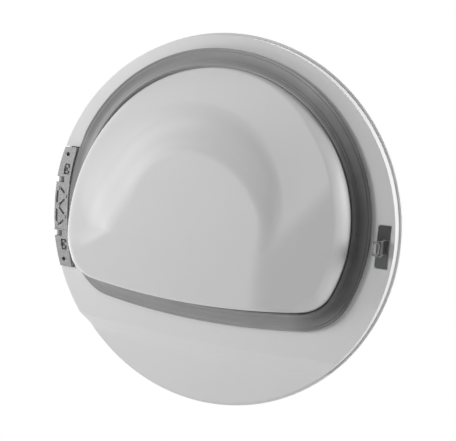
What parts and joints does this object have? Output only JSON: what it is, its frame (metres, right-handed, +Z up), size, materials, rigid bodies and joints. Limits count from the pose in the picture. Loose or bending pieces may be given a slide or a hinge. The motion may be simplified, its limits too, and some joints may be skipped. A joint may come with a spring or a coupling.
{
  "type": "dryer door",
  "caption": "Round white tumble dryer door, drum side with a D-shaped moulded dome in a grey gasket, a cast hinge leaf on one edge and a steel catch on the other.",
  "frame": {"origin": "midway between the hinge leaf's two screw holes, on the face that lies against the cabinet", "axes": "+Y out of the machine through the door to its front, +X from the hinge to the catch, +Z up"},
  "size_m": [0.46, 0.1, 0.46],
  "materials": {
    "outer_shell": "smooth moulded, satin gloss",
    "grip_cup": "fine moulded grain",
    "rear_panel": "smooth moulded, satin",
    "drum_dome": "smooth moulded, satin gloss",
    "dome_gasket": "soft matt grey rubber",
    "dome_screws": "zinc plated",
    "hinge_bracket": "dull grey plating",
    "hinge_bracket_screws": "zinc plated",
    "upper_hinge_bushes": "dark nylon",
    "lower_hinge_bushes": "dark nylon",
    "catch_plate": "dark oxide finish",
    "catch_backing_plate": "zinc plated",
    "catch_nuts": "zinc plated",
    "hinge_leaf": "as cast, fine grain",
    "upper_hinge_pin": "ground",
    "lower_hinge_pin": "ground"
  },
  "bodies": {
    "leaf": {"hinge_leaf": "hinge_leaf", "upper_hinge_pin": "upper_hinge_pin", "lower_hinge_pin": "lower_hinge_pin"},
    "door": {"outer_shell": "outer_shell", "grip_cup": "grip_cup", "rear_panel": "rear_panel", "drum_dome": "drum_dome", "dome_gasket": "dome_gasket", "dome_screws": "dome_screws", "hinge_bracket": "hinge_bracket", "hinge_bracket_screws": "hinge_bracket_screws", "upper_hinge_bushes": "upper_hinge_bushes", "lower_hinge_bushes": "lower_hinge_bushes", "catch_plate": "catch_plate", "catch_backing_plate": "catch_backing_plate", "catch_nuts": "catch_nuts"}
  },
  "joints": [
    {"name": "door_swing", "type": "hinge", "parent": "leaf", "child": "door", "pos_m": [-0.011, 0.006, 0], "axis": [0, 0, 1], "range_deg": [0, 170]}
  ]
}
